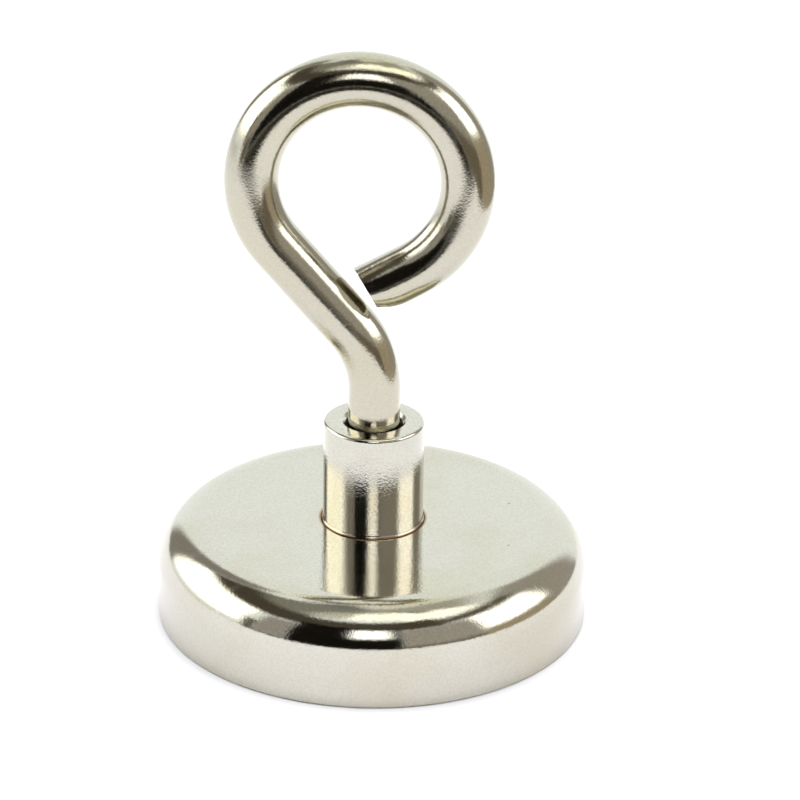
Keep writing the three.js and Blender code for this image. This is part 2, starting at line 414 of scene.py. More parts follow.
def marks_group():
    """Hairline scratches and small pits from handling."""
    name = "handling_marks"
    if name in bpy.data.node_groups:
        return bpy.data.node_groups[name]
    sockets = [
        ("Coordinates", VECTOR, None),
        ("Scratch Scale", FLOAT, 90.0),
        ("Scratch Width", FLOAT, 0.0035),
        ("Pit Scale", FLOAT, 260.0),
        ("Pit Size", FLOAT, 0.09),
        ("Spread", FLOAT, 0.56),
    ]
    tree, given, leave = new_group(name, sockets, ["Height", "Scratches", "Pits"])
    where = noise(tree, given["Coordinates"], 75.0, 2.0, 0.5)
    worn = remap(tree, where, given["Spread"], maths(tree, "ADD", given["Spread"], 0.06))
    path = noise(tree, given["Coordinates"], given["Scratch Scale"], 1.0, 0.3)
    off_line = maths(tree, "ABSOLUTE", maths(tree, "SUBTRACT", path, 0.5))
    hairline = remap(tree, off_line, given["Scratch Width"], 0.0)
    scratches = maths(tree, "MULTIPLY", hairline, worn)
    inputs = {"Vector": given["Coordinates"], "Scale": given["Pit Scale"]}
    cells = add(tree, "ShaderNodeTexVoronoi", inputs, feature="F1")
    picked = add(tree, "ShaderNodeSeparateColor", {"Color": cells.outputs["Color"]}).outputs[0]
    chosen = maths(tree, "GREATER_THAN", picked, 0.86)
    dent = remap(tree, cells.outputs["Distance"], given["Pit Size"], 0.0)
    pits = maths(tree, "MULTIPLY", dent, chosen)
    depth = maths(tree, "ADD", scratches, pits)
    tree.links.new(maths(tree, "MULTIPLY", depth, -1.0), leave.inputs["Height"])
    tree.links.new(scratches, leave.inputs["Scratches"])
    tree.links.new(pits, leave.inputs["Pits"])
    return tree


def smear_group():
    """Soft patches where the plate has dulled or been wiped."""
    name = "dull_patches"
    if name in bpy.data.node_groups:
        return bpy.data.node_groups[name]
    sockets = [("Coordinates", VECTOR, None), ("Patch Scale", FLOAT, 60.0)]
    tree, given, leave = new_group(name, sockets, ["Patches", "Streaks"])
    patches = noise(tree, given["Coordinates"], given["Patch Scale"], 4.0, 0.55)
    wiped = stretched(tree, given["Coordinates"], (1.0, 7.0, 3.0))
    streaks = noise(tree, wiped, given["Patch Scale"], 3.0, 0.6)
    tree.links.new(remap(tree, patches, 0.42, 0.68), leave.inputs["Patches"])
    tree.links.new(remap(tree, streaks, 0.5, 0.72), leave.inputs["Streaks"])
    return tree


def band_group():
    """A soft band of a value between two limits, for seams and edges."""
    name = "soft_band"
    if name in bpy.data.node_groups:
        return bpy.data.node_groups[name]
    sockets = [
        ("Value", FLOAT, 0.0),
        ("Low", FLOAT, 0.0),
        ("High", FLOAT, 1.0),
        ("Softness", FLOAT, 0.1),
    ]
    tree, given, leave = new_group(name, sockets, ["Mask"])
    under = maths(tree, "SUBTRACT", given["Low"], given["Softness"])
    over = maths(tree, "ADD", given["High"], given["Softness"])
    rising = remap(tree, given["Value"], under, given["Low"])
    falling = remap(tree, given["Value"], over, given["High"])
    tree.links.new(maths(tree, "MULTIPLY", rising, falling), leave.inputs["Mask"])
    return tree


class Surface:
    """A material with its Principled shader, and what its patterns follow.

    The patterns follow the object, or the attribute that coordinates names."""

    def __init__(self, name, coordinates=None):
        self.material = bpy.data.materials.new(name)
        self.material.use_nodes = True
        self.tree = self.material.node_tree
        self.shader = self.tree.nodes["Principled BSDF"]
        self.place = local = add(self.tree, "ShaderNodeTexCoord").outputs["Object"]
        if coordinates is not None:
            attribute = add(self.tree, "ShaderNodeAttribute", attribute_name=coordinates)
            self.place = attribute.outputs["Vector"]
        parts = add(self.tree, "ShaderNodeSeparateXYZ", {"Vector": local})
        self.height_up = parts.outputs["Z"]
        across = maths(self.tree, "POWER", parts.outputs["X"], 2.0)
        along = maths(self.tree, "POWER", parts.outputs["Y"], 2.0)
        self.radius = maths(self.tree, "SQRT", maths(self.tree, "ADD", across, along))

    def band(self, value, low, high, softness):
        """A mask that is whole from low to high."""
        inputs = {"Value": value, "Low": low, "High": high, "Softness": softness}
        return use_group(self.tree, band_group(), inputs)["Mask"]

    def feed(self, socket, value):
        feed(self.tree, self.shader.inputs[socket], value)

    def bump(self, layers):
        """Stacks bumps. Each layer is a height socket and how deep it is in metres."""
        normal = None
        for height, depth in layers:
            inputs = {"Height": height, "Distance": depth, "Strength": 1.0}
            if normal is not None:
                inputs["Normal"] = normal
            normal = add(self.tree, "ShaderNodeBump", inputs).outputs["Normal"]
        self.tree.links.new(normal, self.shader.inputs["Normal"])


def solid(value):
    """A colour with full alpha."""
    return (*value, 1.0)


def plated_surface(surface, finish, nickel, gloss, ripple_depth, grain_depth):
    """What the plate on cup, collar and rod shares: grain, dull patches, scratches and pits.

    Gives the colour, the roughness, and the bumps with their depths."""
    tree = surface.tree
    grain = use_group(tree, grain_group(), {"Coordinates": surface.place})
    marks = use_group(tree, marks_group(), {"Coordinates": surface.place})
    smears = use_group(tree, smear_group(), {"Coordinates": surface.place})
    dull = maths(tree, "MULTIPLY", smears["Patches"], finish.dulling)
    specks = maths(tree, "MULTIPLY", grain["Mottle"], finish.speckle)
    dirty = maths(tree, "MULTIPLY", marks["Pits"], finish.pit_dirt)
    tint = blend(tree, dull, solid(nickel), solid(finish.tarnish))
    tint = blend(tree, specks, tint, solid(finish.speck))
    tint = blend(tree, dirty, tint, solid(finish.grime_and_shade))
    rough = remap(tree, smears["Streaks"], 0.0, 1.0, gloss, gloss + finish.streak_haze)
    scratched = maths(tree, "MULTIPLY", marks["Scratches"], finish.scratch_haze)
    rough = maths(tree, "ADD", rough, scratched)
    speckled = maths(tree, "MULTIPLY", grain["Mottle"], finish.speck_haze)
    rough = maths(tree, "ADD", rough, speckled)
    surface.feed("Metallic", 1.0)
    layers = [
        (grain["Ripple"], ripple_depth), (grain["Height"], grain_depth),
        (marks["Height"], finish.mark_depth),
    ]
    return tint, rough, layers


# ---------------------------------------------------------------- materials


def cup_material(settings):
    """Plate on the cup, stained in the seam and scuffed along the rim."""
    cup, finish = settings.cup, settings.finish
    surface = Surface("nickel_plated_cup")
    tree = surface.tree
    tint, rough, layers = plated_surface(
        surface, finish, finish.nickel, finish.cup_gloss,
        ripple_depth=0.03 * MM, grain_depth=0.01 * MM,
    )
    seat = settings.collar.diameter / 2
    ring = surface.band(surface.radius, seat - 0.2 * MM, seat + 0.35 * MM, 0.35 * MM)
    top = remap(tree, surface.height_up, cup.height - 1.2 * MM, cup.height - 0.3 * MM)
    stain = maths(tree, "MULTIPLY", ring, maths(tree, "MULTIPLY", top, finish.seam_stain))
    tint = blend(tree, stain, tint, solid(finish.stain))
    bare = surface.band(surface.height_up, -0.1 * MM, 0.25 * MM, 0.25 * MM)
    scuffed = maths(tree, "MULTIPLY", bare, noise(tree, surface.place, 420.0, 3.0, 0.6))
    rough = maths(tree, "ADD", rough, maths(tree, "MULTIPLY", scuffed, 0.45))
    tint = blend(tree, maths(tree, "MULTIPLY", scuffed, 0.5), tint, solid(finish.tarnish))
    surface.feed("Base Color", tint)
    surface.feed("Roughness", rough)
    surface.bump(layers)
    return surface.material


def collar_material(settings):
    """Plate over turning marks, stained at the foot, with painted shade darkening the bore of the
    thread.
    """
    collar, cup, finish = settings.collar, settings.cup, settings.finish
    surface = Surface("nickel_plated_collar")
    tree = surface.tree
    tint, rough, layers = plated_surface(
        surface, finish, finish.nickel, finish.collar_gloss,
        ripple_depth=0.02 * MM, grain_depth=0.019 * MM,
    )
    tool_marks = add(
        tree, "ShaderNodeTexWave",
        {"Vector": surface.place, "Scale": 1900.0, "Distortion": 1.5, "Detail": 2.0},
        wave_type="BANDS", bands_direction="Z",
    ).outputs["Fac"]
    foot = surface.band(surface.height_up, cup.height - 1.5 * MM, cup.height + 0.1 * MM, 0.2 * MM)
    tint = blend(tree, maths(tree, "MULTIPLY", foot, finish.foot_stain), tint, solid(finish.stain))
    bore = collar.thread_diameter / 2
    # Painted shade: the plate is darkened towards near black down in the bore of the thread.
    inside = remap(tree, surface.radius, bore + 0.1 * MM, bore - 0.2 * MM)
    tint = blend(tree, maths(tree, "MULTIPLY", inside, finish.thread_shade), tint, solid(finish.grime_and_shade))
    rough = maths(tree, "ADD", rough, maths(tree, "MULTIPLY", inside, 0.3))
    surface.feed("Base Color", tint)
    surface.feed("Roughness", rough)
    surface.bump([*layers, (tool_marks, 0.0004 * MM)])
    return surface.material


def rod_material(settings):
    """Plate over a drawn rod, with its patterns laid along the rod and painted shade down in the
    collar.
    """
    collar, finish = settings.collar, settings.finish
    surface = Surface("nickel_plated_rod", "straight_rod")
    tree = surface.tree
    tint, rough, layers = plated_surface(
        surface, finish, finish.rod_nickel, finish.rod_gloss,
        ripple_depth=0.03 * MM, grain_depth=0.013 * MM,
    )
    drawn = noise(tree, stretched(tree, surface.place, (1.0, 1.0, 0.02)), 2600.0, 2.0, 0.5)
    # Painted shade: the rod is darkened towards near black where it goes down into the collar.
    sunk = remap(tree, surface.height_up, collar.top - 0.6 * MM, collar.top - 1.6 * MM)
    tint = blend(tree, maths(tree, "MULTIPLY", sunk, finish.rod_shade), tint, solid(finish.grime_and_shade))
    rough = maths(tree, "ADD", rough, maths(tree, "MULTIPLY", sunk, 0.25))
    surface.feed("Base Color", tint)
    surface.feed("Roughness", rough)
    surface.bump([*layers, (drawn, 0.0015 * MM)])
    return surface.material


def magnet_material(settings):
    """The magnet's own plate, duller and with wider scratches."""
    finish = settings.finish
    surface = Surface("magnet_plate")
    tree = surface.tree
    grain = use_group(tree, grain_group(), {"Coordinates": surface.place, "Grain Scale": 2600.0})
    inputs = {"Coordinates": surface.place, "Scratch Scale": 130.0, "Scratch Width": 0.005}
    marks = use_group(tree, marks_group(), {**inputs, "Spread": 0.47})
    smears = use_group(tree, smear_group(), {"Coordinates": surface.place, "Patch Scale": 85.0})
    tint = blend(
        tree, maths(tree, "MULTIPLY", smears["Patches"], 0.35),
        solid(finish.ground_nickel), solid(finish.tarnish),
    )
    rough = remap(tree, smears["Streaks"], 0.0, 1.0, 0.2, 0.34)
    rough = maths(tree, "ADD", rough, maths(tree, "MULTIPLY", marks["Scratches"], 0.2))
    surface.feed("Base Color", tint)
    surface.feed("Metallic", 1.0)
    surface.feed("Roughness", rough)
    surface.bump([
        (grain["Height"], 0.0025 * MM), (grain["Ripple"], 0.0012 * MM),
        (marks["Height"], 0.02 * MM),
    ])
    return surface.material


def resin_material(settings):
    """Poured black resin, dusty and pitted."""
    surface = Surface("sealing_resin")
    tree = surface.tree
    grain = use_group(
        tree, grain_group(),
        {"Coordinates": surface.place, "Grain Scale": 900.0, "Ripple Scale": 220.0},
    )
    marks = use_group(
        tree, marks_group(),
        {"Coordinates": surface.place, "Pit Scale": 900.0, "Pit Size": 0.22, "Spread": 0.7},
    )
    smears = use_group(tree, smear_group(), {"Coordinates": surface.place, "Patch Scale": 180.0})
    resin = settings.finish.resin
    dusty = solid([0.05 + 0.8 * part for part in resin])
    tint = blend(tree, maths(tree, "MULTIPLY", smears["Patches"], 0.6), solid(resin), dusty)
    rough = remap(tree, smears["Streaks"], 0.0, 1.0, 0.22, 0.42)
    surface.feed("Base Color", tint)
    surface.feed("Roughness", rough)
    surface.bump([
        (grain["Height"], 0.02 * MM), (grain["Ripple"], 0.02 * MM), (marks["Height"], 0.05 * MM),
    ])
    return surface.material


def adhesive_material(settings):
    """Cured adhesive, thinner in patches."""
    surface = Surface("bonding_adhesive")
    tree = surface.tree
    smears = use_group(tree, smear_group(), {"Coordinates": surface.place, "Patch Scale": 240.0})
    grain = use_group(tree, grain_group(), {"Coordinates": surface.place, "Grain Scale": 1500.0})
    adhesive = settings.finish.adhesive
    thin = solid([0.6 * part for part in adhesive])
    surface.feed("Base Color", blend(tree, smears["Patches"], solid(adhesive), thin))
    surface.feed("Roughness", remap(tree, grain["Mottle"], 0.0, 1.0, 0.35, 0.6))
    surface.bump([(grain["Height"], 0.01 * MM)])
    return surface.material


# ---------------------------------------------------------------- pieces


class MAGNET_OT_cup(bpy.types.Operator):
    """Turn the steel cup from its outline"""

    bl_idname = "fishing_magnet.cup"
    bl_label = "Make Cup"

    def execute(self, context):
        settings = context.scene.fishing_magnet
        cup, collar = settings.cup, settings.collar
        radius = cup.diameter / 2
        cavity = radius - cup.wall
        cavity_top = COLLAR_BOX[0].z
        seat = collar.diameter / 2 + cup.seam_gap
        seat_foot = cup.height - cup.seat_depth
        hole = collar.thread_diameter / 2 + collar.spigot_wall + collar.spigot_gap
        bm = bmesh.new()
        corners = outline(bm, [
            (radius, 0),
            (radius, cup.height),
            (seat, cup.height),
            (seat, seat_foot),
            (hole, seat_foot),
            (hole, cavity_top + collar.swage_height),
            (hole + collar.swage_width, cavity_top),
            (cavity, cavity_top),
            (cavity, cup.rim_chamfer),
            (cavity + cup.rim_chamfer, 0),
        ])
        round_corner(bm, corners[0], cup.rim_round, segments=5)
        round_corner(bm, corners[1], cup.shoulder, segments=40)
        round_corner(bm, corners[2], cup.seam_round, segments=4)
        round_corner(bm, corners[7], cup.cavity_round, segments=5)
        spin_full(bm, cup.facets)
        finish_piece(
            bm, "plated_cup", cup_material(settings), "magnet_body", "pot_shell"
        )
        return {"FINISHED"}


def thread_outline(collar, inset):
    """A metric thread's outline from the top groove down. An inset moves it in, for the rod.

    The thread is drawn as rings, so that it can be turned in one spin."""
    depth = collar.thread_pitch * 5 * math.sqrt(3) / 16
    outer = collar.thread_diameter / 2 - inset
    inner = outer - depth
    flank = depth * math.tan(math.radians(30))
    outer_flat = collar.thread_pitch / 8
    inner_flat = collar.thread_pitch - outer_flat - 2 * flank
    corners = []
    for ring in range(collar.thread_rings):
        top = collar.top - collar.thread_start - ring * collar.thread_pitch
        corners.append((outer, top))
        corners.append((outer, top - outer_flat))
        corners.append((inner, top - outer_flat - flank))
        corners.append((inner, top - outer_flat - flank - inner_flat))
    return corners


class MAGNET_OT_collar(bpy.types.Operator):
    """Turn and tap the collar from its outline"""

    bl_idname = "fishing_magnet.collar"
    bl_label = "Make Collar"

    def execute(self, context):
        settings = context.scene.fishing_magnet
        cup, collar = settings.cup, settings.collar
        radius = collar.diameter / 2
        thread = collar.thread_diameter / 2
        spigot = thread + collar.spigot_wall
        foot = cup.height - cup.seat_depth
        cavity_top = COLLAR_BOX[0].z
        rings = thread_outline(collar, 0)
        bore = rings[-1][0]
        thread_foot = collar.top - collar.thread_start - collar.thread_rings * collar.thread_pitch
        bm = bmesh.new()
        corners = outline(bm, [
            (bore, cavity_top),
            (spigot + collar.swage_width, cavity_top),
            (spigot, cavity_top + collar.swage_height),
            (spigot, foot),
            (radius + collar.flare, foot),
            (radius + collar.flare, cup.height + 0.2 * collar.flare_height),
            (radius, cup.height + collar.flare_height),
            (radius, collar.top),
            (thread + collar.mouth_chamfer, collar.top),
            (thread, collar.top - collar.mouth_chamfer),
            *rings,
            (bore, thread_foot),
        ])
        round_corner(bm, corners[5], 0.4 * collar.flare, segments=3)
        round_corner(bm, corners[6], 0.6 * collar.flare, segments=3)
        round_corner(bm, corners[7], collar.edge_round, segments=8)
        round_corner(bm, corners[8], 0.16 * collar.edge_round, segments=2)
        spin_full(bm, collar.facets)
        finish_piece(
            bm, "plated_collar", collar_material(settings), "magnet_body", "threaded_collar",
        )
        return {"FINISHED"}


def new_ring(made):
    """The edges of what an extrusion has made that join two new vertices."""
    verts = {part for part in made if isinstance(part, bmesh.types.BMVert)}
    edges = [part for part in made if isinstance(part, bmesh.types.BMEdge)]
    return [edge for edge in edges if verts.issuperset(edge.verts)]


class RodEnd:
    """The open end of a rod that is being drawn out, ring by ring.

    Each vertex keeps its place on the rod before it was bent, in straight_rod, so that a
    pattern can follow the bends."""

    def __init__(self, bm, edges, centre, radius, distance):
        self.bm = bm
        self.edges = edges
        self.centre = centre
        self.radius = radius
        self.distance = distance
        self.straight = bm.verts.layers.float_vector["straight_rod"]

    def verts(self):
        return list({vert for edge in self.edges for vert in edge.verts})

    def settle(self, centre, radius, step):
        """Takes the new ring to its radius and notes how far along the rod it is."""
        self.centre = centre
        self.distance += step
        scale = radius / self.radius
        bmesh.ops.scale(
            self.bm, vec=(scale, scale, scale), verts=self.verts(),
            space=Matrix.Translation(-centre),
        )
        self.radius = radius
        for vert in self.verts():
            kept = vert[self.straight]
            vert[self.straight] = (kept.x, kept.y, self.distance)

    def straight_on(self, direction, distance, steps):
        """Draws the rod straight on."""
        for _ in range(steps):
            self.edges = new_ring(bmesh.ops.extrude_edge_only(self.bm, edges=self.edges)["geom"])
            move = direction * (distance / steps)
            bmesh.ops.translate(self.bm, vec=move, verts=self.verts())
            self.settle(self.centre + move, self.radius, distance / steps)

    def bend(self, pivot, angle, steps, last):
        """Bends the rod round Y, and takes it smoothly to its last radius.

        A positive angle turns Z towards X."""
        first = self.radius
        reach = (self.centre - pivot).length
        for step in range(1, steps + 1):
            made = bmesh.ops.spin(
                self.bm, geom=self.edges, cent=pivot, axis=Y_AXIS, angle=angle / steps,
                steps=1, use_merge=False,
            )["geom_last"]
            self.edges = new_ring(made)
            centre = pivot + Matrix.Rotation(angle / steps, 3, Y_AXIS) @ (self.centre - pivot)
            size = first + (last - first) * (0.5 - 0.5 * math.cos(math.pi * step / steps))
            self.settle(centre, size, reach * abs(angle) / steps)


def hook_line(settings):
    """The places and directions that the rod's centre line passes, in the XZ plane."""
    hook, collar = settings.hook, settings.collar
    rod = hook.rod / 2
    eye_radius = hook.eye / 2 + rod
    eye = Vector((-hook.eye_shift, 0, collar.top + hook.eye_rise))
    lean_way = Vector((-math.sin(hook.lean), 0, math.cos(hook.lean)))
    lean_side = Vector((math.cos(hook.lean), 0, math.sin(hook.lean)))
    end_way = Vector((-math.cos(hook.end_slope), 0, -math.sin(hook.end_slope)))
    end_side = Vector((math.sin(hook.end_slope), 0, -math.cos(hook.end_slope)))
    eye_start = eye - lean_side * eye_radius
    bend_reach = hook.neck_bend * (1 - math.cos(hook.lean))
    neck = (-eye_start.x - bend_reach) / math.sin(hook.lean)
    bend_end = eye_start - lean_way * neck
    bend_start = bend_end.z - hook.neck_bend * math.sin(hook.lean)
    corner = eye + end_side * (eye_radius + rod)
    room = (corner - eye_start).dot(lean_side) - rod - hook.tip_gap
    free_end = room / math.cos(hook.lean - hook.end_slope)
    return {
        "eye": eye, "lean_way": lean_way, "end_way": end_way, "end_side": end_side,
        "neck": neck, "bend_start": bend_start, "free_end": free_end,
        "eye_turn": math.pi + hook.lean - hook.end_slope + math.pi / 2,
    }


class MAGNET_OT_hook(bpy.types.Operator):
    """Draw and bend the rod into the eye hook, with its thread and sheared tip"""

    bl_idname = "fishing_magnet.hook"
    bl_label = "Make Eye Hook"

    def execute(self, context):
        settings = context.scene.fishing_magnet
        hook, collar = settings.hook, settings.collar
        line = hook_line(settings)
        rod, shank = hook.rod / 2, hook.shank / 2
        rings = thread_outline(collar, hook.thread_gap)
        inner = rings[-1][0]
        thread_top = collar.top - collar.thread_start
        thread_foot = thread_top - collar.thread_rings * collar.thread_pitch
        bm = bmesh.new()
        bm.verts.layers.float_vector.new("straight_rod")
        outline(bm, [
            (0, thread_foot - hook.tail),
            (inner - hook.tail / 2, thread_foot - hook.tail),
            (inner, thread_foot),
            *reversed(rings),
            (shank, thread_top + collar.thread_pitch / 4),
            (shank, line["bend_start"]),
        ], closed=False)
        spin_full(bm, hook.facets)
        straight = bm.verts.layers.float_vector["straight_rod"]
        for vert in bm.verts:
            vert[straight] = vert.co
        start = Vector((0, 0, line["bend_start"]))
        rim = [edge for edge in bm.edges if edge.is_boundary]
        end = RodEnd(bm, rim, start, shank, line["bend_start"])
        pivot = start - X_AXIS * hook.neck_bend
        end.bend(pivot, -hook.lean, hook.neck_steps, rod)
        end.straight_on(line["lean_way"], line["neck"], hook.lean_steps)
        end.bend(line["eye"], line["eye_turn"], hook.eye_steps, rod)
        end.straight_on(line["end_way"], line["free_end"] - hook.roll, hook.end_steps)
        tip = end.centre + line["end_way"] * (hook.roll + hook.tip_reach)
        roll_start = end.distance - WELD
        end.straight_on(line["end_way"], hook.roll + hook.tip_spare, hook.tip_steps)
        self.cut_tip(bm, line, hook, tip, rod, roll_start)
        close_mesh(bm)
        finish_piece(
            bm, "plated_eye_hook", rod_material(settings), "eye_hook", "eye_hook"
        )
        return {"FINISHED"}

    def cut_tip(self, bm, line, hook, tip, rod, from_distance):
        """Rolls the free end's lower side over, cuts it off aslant and softens the cut's edge.

        The roll follows a circle that leaves the rod at the start of the roll."""
        straight = bm.verts.layers.float_vector["straight_rod"]
        verts = [vert for vert in bm.verts if vert[straight].z > from_distance]
        curve = (hook.roll ** 2 + hook.roll_drop ** 2) / (2 * hook.roll_drop)
        for vert in verts:
            run = max(hook.roll + (vert.co - tip).dot(line["end_way"]), 0)
            aside = (vert.co - tip).dot(line["end_side"])
            drop = curve - math.sqrt(max(curve ** 2 - run ** 2, 0))
            vert.co -= line["end_side"] * drop * (aside + rod) / (2 * rod)
        faces = list({face for vert in verts for face in vert.link_faces})
        edges = list({edge for face in faces for edge in face.edges})
        cut_way = line["end_way"] * math.cos(hook.shear) - Y_AXIS * math.sin(hook.shear)
        made = bmesh.ops.bisect_plane(
            bm, geom=verts + edges + faces, dist=WELD, plane_co=tip + Y_AXIS * rod,
            plane_no=cut_way, clear_outer=True,
        )["geom_cut"]
        rim = [part for part in made if isinstance(part, bmesh.types.BMEdge)]
        bmesh.ops.contextual_create(bm, geom=rim)
        bmesh.ops.bevel(
            bm, geom=rim, offset=hook.tip_round, segments=4, profile=0.5, affect="EDGES",
            material=-1, clamp_overlap=True,
        )


class MAGNET_OT_fill(bpy.types.Operator):
    """Make the magnet disc and the resin ring, and finish the hidden adhesive"""

    bl_idname = "fishing_magnet.fill"
    bl_label = "Make Magnet and Resin"

    def execute(self, context):
        settings = context.scene.fishing_magnet
        fill = settings.fill
        bm = bmesh.new()
        corners = outline(bm, [
            (0, fill.face), (fill.radius, fill.face), (fill.radius, fill.back), (0, fill.back),
        ], closed=False)
        round_corner(bm, corners[1], fill.edge, segments=6)
        round_corner(bm, corners[2], fill.edge, segments=3)
        spin_full(bm, settings.cup.facets)
        finish_piece(
            bm, "plated_magnet", magnet_material(settings), "magnet_body", "magnet_disc",
        )
        bm = bmesh.new()
        inner = fill.radius + fill.resin_gap
        middle = (inner + fill.resin_outer) / 2
        corners = outline(bm, [
            (inner, fill.face + fill.edge),
            (middle, fill.resin_face + 2 * fill.resin_dip),
            (fill.resin_outer, fill.resin_face),
            (fill.resin_outer, fill.resin_back),
            (inner, fill.resin_back),
        ])
        round_corner(bm, corners[1], (fill.resin_outer - inner) / 3, segments=6)
        spin_full(bm, settings.cup.facets)
        finish_piece(
            bm, "sealing_resin_ring", resin_material(settings), "magnet_body", "resin_ring",
        )
        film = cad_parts["bond_film"]
        film.data.materials.clear()
        film.data.materials.append(adhesive_material(settings))
        return {"FINISHED"}


# ---------------------------------------------------------------- stage


def panel_group():
    """A soft-edged lit or dark panel in the studio, as a mask over directions."""
    sockets = [
        ("Around", FLOAT, 0.0),
        ("Up", FLOAT, 0.0),
        ("From", FLOAT, 0.0),
        ("To", FLOAT, 0.0),
        ("Low", FLOAT, 0.0),
        ("High", FLOAT, 0.0),
        ("Softness", FLOAT, 0.03),
    ]
    tree, given, leave = new_group("studio_panel", sockets, ["Mask"])
    masks = []
    for value, low, high in (("Around", "From", "To"), ("Up", "Low", "High")):
        middle = maths(tree, "MULTIPLY", maths(tree, "ADD", given[low], given[high]), 0.5)
        half = maths(tree, "MULTIPLY", maths(tree, "SUBTRACT", given[high], given[low]), 0.5)
        off = maths(tree, "ABSOLUTE", maths(tree, "SUBTRACT", given[value], middle))
        outer = maths(tree, "ADD", half, given["Softness"])
        inner = maths(tree, "SUBTRACT", half, given["Softness"])
        masks.append(remap(tree, off, outer, inner))
    tree.links.new(maths(tree, "MULTIPLY", *masks), leave.inputs["Mask"])
    return tree


TENT = (1.27, 1.34, 1.34)
WHITE = (1.0, 1.0, 1.0)
IVORY = (1.0, 1.0, 0.93)
CREAM = (1.0, 1.0, 0.86)
BROWN = (1.0, 0.86, 0.64)
GREY = (1.0, 0.94, 0.86)
# Where each panel is, round from -Y towards +X and up from the floor, in degrees; how soft its
# edge is, in degrees; its colour; and how bright it is. A panel hides those above it in the list.
STUDIO_PANELS = {
    "ceiling": ((-180, 180), (70, 90), 5, CREAM, 0.28),
    "ceiling, front": ((-70, 135), (79, 90), 6, CREAM, 0.6),
    "ceiling, back": ((130, 200), (60, 84), 6, CREAM, 1.1),
    "ceiling, back left": ((-200, -168), (60, 84), 6, CREAM, 1.0),
    "ceiling, back right": ((90, 145), (62, 90), 6, CREAM, 0.6),
    "ceiling, left": ((-130, -48), (54, 90), 5, CREAM, 0.33),
    "ceiling light": ((-24, 66), (66, 84), 4, CREAM, 2.2),
    "left of ceiling light": ((-62, -24), (65, 82), 5, CREAM, 0.8),
    "side of ceiling light": ((30, 92), (56, 72), 5, CREAM, 2.3),
    "ceiling edge": ((-132, 50), (40, 60), 3, BROWN, 0.1),
    "ceiling edge, right": ((45, 120), (42, 53), 4, BROWN, 0.17),
    "left outer frame": ((-150, -132), (-4, 58), 3, GREY, 0.36),
    "left light": ((-130, -70), (6, 40), 4, IVORY, 3.1),
    "left frame": ((-68, -61), (-2, 20), 2, BROWN, 0.15),
    "left wing": ((-61, -43), (2, 38), 2, GREY, 0.47),
    "left wing's foot": ((-61, -43), (-14, 2), 3, BROWN, 0.2),
    "right wing": ((18, 62), (0, 40), 2.5, GREY, 0.52),
    "right table": ((18, 138), (-40, 2), 3, BROWN, 0.22),
    "right light's foot": ((62, 108), (-40, 9), 4, BROWN, 0.55),
    "right light": ((63, 106), (10, 40), 4, WHITE, 3.1),
    "right frame": ((107, 138), (-40, 55), 5, GREY, 0.5),
    "opening": ((-43, 18), (-9, 46), 1.5, BROWN, 0.01),
    "opening's foot": ((-43, 19), (-40, -9), 2.5, BROWN, 0.04),
    "front light": ((-9, 12), (22, 41), 4.5, WHITE, 3.0),
}


def studio_world():
    """White tent with lights on each side and overhead, and a dark opening in front."""
    world = bpy.data.worlds.new("studio")
    world.use_nodes = True
    tree = world.node_tree
    direction = add(tree, "ShaderNodeTexCoord").outputs["Generated"]
    parts = add(tree, "ShaderNodeSeparateXYZ", {"Vector": direction}).outputs
    front = maths(tree, "MULTIPLY", parts["Y"], -1.0)
    around = maths(tree, "ARCTAN2", parts["X"], front)
    up = maths(tree, "ARCSINE", parts["Z"])
    group = panel_group()
    light = solid(TENT)
    for (start, end), (low, high), softness, tint, strength in STUDIO_PANELS.values():
        inputs = {
            "Around": around, "Up": up, "From": math.radians(start), "To": math.radians(end),
            "Low": math.radians(low), "High": math.radians(high),
            "Softness": math.radians(softness),
        }
        mask = use_group(tree, group, inputs)["Mask"]
        light = blend(tree, mask, light, solid([part * strength for part in tint]))
    background = tree.nodes["Background"]
    tree.links.new(light, background.inputs["Color"])
    return world


def floor_material(stage, foot):
    """Pale and matt from above, and clear from below, so that the pull face can be looked at.

    The plate reflects only a sheet of it, with the darker room beyond the sheet's edges. It is
    open under the magnet's foot, so that light reaches the pull face from below."""
    material = bpy.data.materials.new("pale_floor")
    material.use_nodes = True
    tree = material.node_tree
    tree.nodes.clear()
    matt = add(tree, "ShaderNodeBsdfDiffuse", {"Color": solid(stage.floor)})
    clear = add(tree, "ShaderNodeBsdfTransparent")
    geometry = add(tree, "ShaderNodeNewGeometry").outputs
    parts = add(tree, "ShaderNodeSeparateXYZ", {"Vector": geometry["Position"]}).outputs
    soft = stage.sheet_edge
    past_front = remap(tree, parts["Y"], soft - stage.sheet_front, -soft - stage.sheet_front)
    past_side = remap(tree, parts["X"], stage.sheet_side - soft, stage.sheet_side + soft)
    past = maths(tree, "MAXIMUM", past_front, past_side)
    glossy = add(tree, "ShaderNodeLightPath").outputs["Is Glossy Ray"]
    from_axis = add(
        tree, "ShaderNodeVectorMath", {0: geometry["Position"]}, operation="LENGTH"
    ).outputs["Value"]
    under = maths(tree, "LESS_THAN", from_axis, foot)
    open_share = maths(tree, "MULTIPLY", past, glossy)
    for other in (geometry["Backfacing"], under):
        open_share = maths(tree, "MAXIMUM", open_share, other)
    inputs = {0: open_share, 1: matt.outputs[0], 2: clear.outputs[0]}
    mixed = add(tree, "ShaderNodeMixShader", inputs)
    add(tree, "ShaderNodeOutputMaterial", {"Surface": mixed.outputs[0]})
    return material


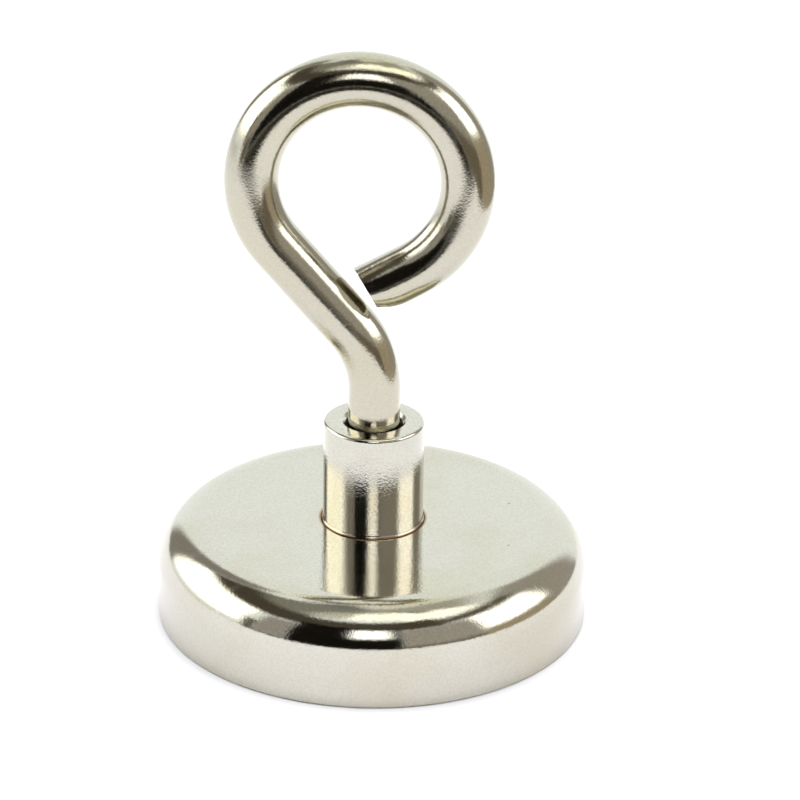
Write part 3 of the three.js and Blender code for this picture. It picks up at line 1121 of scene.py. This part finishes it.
class MAGNET_OT_stage(bpy.types.Operator):
    """Set the pale floor, the studio light and the camera"""

    bl_idname = "fishing_magnet.stage"
    bl_label = "Set the Stage"

    def execute(self, context):
        scene = context.scene
        stage = scene.fishing_magnet.stage
        scene.world = studio_world()
        scene.view_settings.view_transform = "Standard"
        bm = bmesh.new()
        bmesh.ops.create_grid(bm, x_segments=1, y_segments=1, size=stage.floor_size / 2)
        mesh = bpy.data.meshes.new("floor")
        bm.to_mesh(mesh)
        bm.free()
        floor = bpy.data.objects.new("floor", mesh)
        foot = scene.fishing_magnet.cup.diameter / 2 - stage.foot_inset
        floor.data.materials.append(floor_material(stage, foot))
        scene.collection.objects.link(floor)
        lamp = bpy.data.lights.new("overhead", "AREA")
        lamp.shape = "DISK"
        lamp.size = stage.lamp_size
        lamp.energy = stage.lamp_power
        overhead = bpy.data.objects.new("overhead", lamp)
        overhead.location = (0, stage.lamp_back, stage.lamp_height)
        overhead.visible_glossy = False
        scene.collection.objects.link(overhead)
        self.place_camera(scene, stage)
        return {"FINISHED"}

    def place_camera(self, scene, stage):
        """Stands the camera on its sphere round the origin and aims it with three turns."""
        camera = bpy.data.objects.new("camera", bpy.data.cameras.new("camera"))
        scene.collection.objects.link(camera)
        camera.data.lens = stage.lens
        camera.data.clip_start = 0.01
        camera.data.clip_end = 20
        away = Vector((0, -math.cos(stage.height_angle), math.sin(stage.height_angle)))
        turned = Matrix.Rotation(stage.heading, 4, "Z")
        place = Matrix.Translation(turned @ (away * stage.distance))
        aim = Matrix.Rotation(stage.heading - stage.yaw, 4, "Z")
        tilt = Matrix.Rotation(math.pi / 2 - stage.pitch, 4, "X")
        camera.matrix_world = place @ aim @ tilt @ Matrix.Rotation(stage.roll, 4, "Z")
        scene.camera = camera


# ---------------------------------------------------------------- panel and registration


class MAGNET_PT_panel(bpy.types.Panel):
    """Lists the magnet's operators and settings."""

    bl_idname = "MAGNET_PT_panel"
    bl_label = "Fishing Magnet"
    bl_space_type = "VIEW_3D"
    bl_region_type = "UI"
    bl_category = "Magnet"

    def draw(self, context):
        settings = context.scene.fishing_magnet
        for label, operator, group in PANEL_ROWS:
            box = self.layout.box()
            box.label(text=label)
            if operator:
                box.operator(operator.bl_idname)
            values = getattr(settings, group)
            for key in values.bl_rna.properties.keys():
                if key not in ("rna_type", "name"):
                    box.prop(values, key)


OPERATORS = (MAGNET_OT_cup, MAGNET_OT_collar, MAGNET_OT_hook, MAGNET_OT_fill, MAGNET_OT_stage)
PANEL_ROWS = (
    ("Cup", MAGNET_OT_cup, "cup"),
    ("Collar", MAGNET_OT_collar, "collar"),
    ("Eye hook", MAGNET_OT_hook, "hook"),
    ("Magnet and resin", MAGNET_OT_fill, "fill"),
    ("Finishes", None, "finish"),
    ("Stage", MAGNET_OT_stage, "stage"),
)
SETTINGS = (CupSizes, CollarSizes, HookSizes, FillSizes, Finishes, StageSettings, FishingMagnet)
CLASSES = (*SETTINGS, *OPERATORS, MAGNET_PT_panel)


def register():
    for item in CLASSES:
        bpy.utils.register_class(item)
    bpy.types.Scene.fishing_magnet = bpy.props.PointerProperty(type=FishingMagnet)


def unregister():
    del bpy.types.Scene.fishing_magnet
    for item in reversed(CLASSES):
        bpy.utils.unregister_class(item)


def main():
    """Makes every piece and the stage."""
    register()
    bpy.ops.fishing_magnet.cup()
    bpy.ops.fishing_magnet.collar()
    bpy.ops.fishing_magnet.hook()
    bpy.ops.fishing_magnet.fill()
    bpy.ops.fishing_magnet.stage()


if __name__ == "__main__":
    main()
